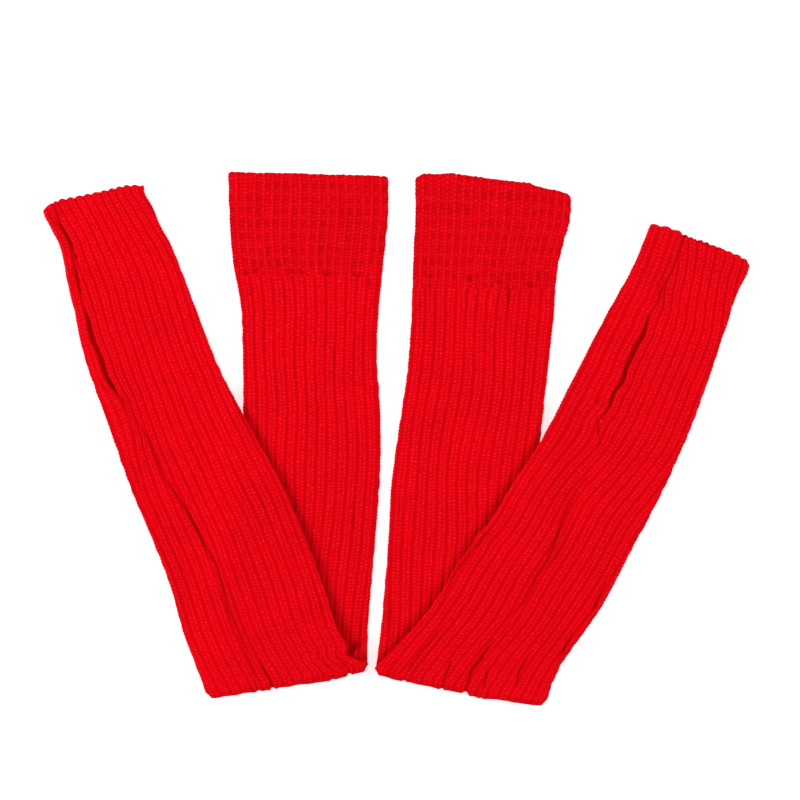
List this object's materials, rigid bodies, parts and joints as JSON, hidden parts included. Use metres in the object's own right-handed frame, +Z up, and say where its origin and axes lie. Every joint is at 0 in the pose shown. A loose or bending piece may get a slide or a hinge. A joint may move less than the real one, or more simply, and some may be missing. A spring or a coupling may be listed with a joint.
{
  "type": "pair of stirrup leg warmers",
  "caption": "Pair of long rib knit leg warmers with waffle cuffs, heel slits and foot bands, laid flat with each tube folded back over itself on a slant.",
  "frame": {"origin": "on the surface under the middle of the laid-out pair", "axes": "+X across the pair to the picture's right, +Y towards the cuffs, +Z up from the surface"},
  "size_m": [0.6184, 0.4668, 0.0139],
  "materials": {
    "left_cuff_yarn": "soft matte red acrylic yarn in a waffle knit, slight fuzz",
    "left_leg_yarn": "soft matte red acrylic yarn in a two by two rib knit, slight fuzz",
    "right_cuff_yarn": "soft matte red acrylic yarn in a waffle knit, slight fuzz",
    "right_leg_yarn": "soft matte red acrylic yarn in a two by two rib knit, slight fuzz"
  },
  "bodies": {
    "root": {"left_knee_cuff": "left_cuff_yarn", "left_leg_under": "left_leg_yarn", "left_leg_over": "left_leg_yarn", "left_foot_band": "left_leg_yarn", "right_knee_cuff": "right_cuff_yarn", "right_leg_under": "right_leg_yarn", "right_leg_over": "right_leg_yarn", "right_foot_band": "right_leg_yarn"}
  },
  "joints": []
}
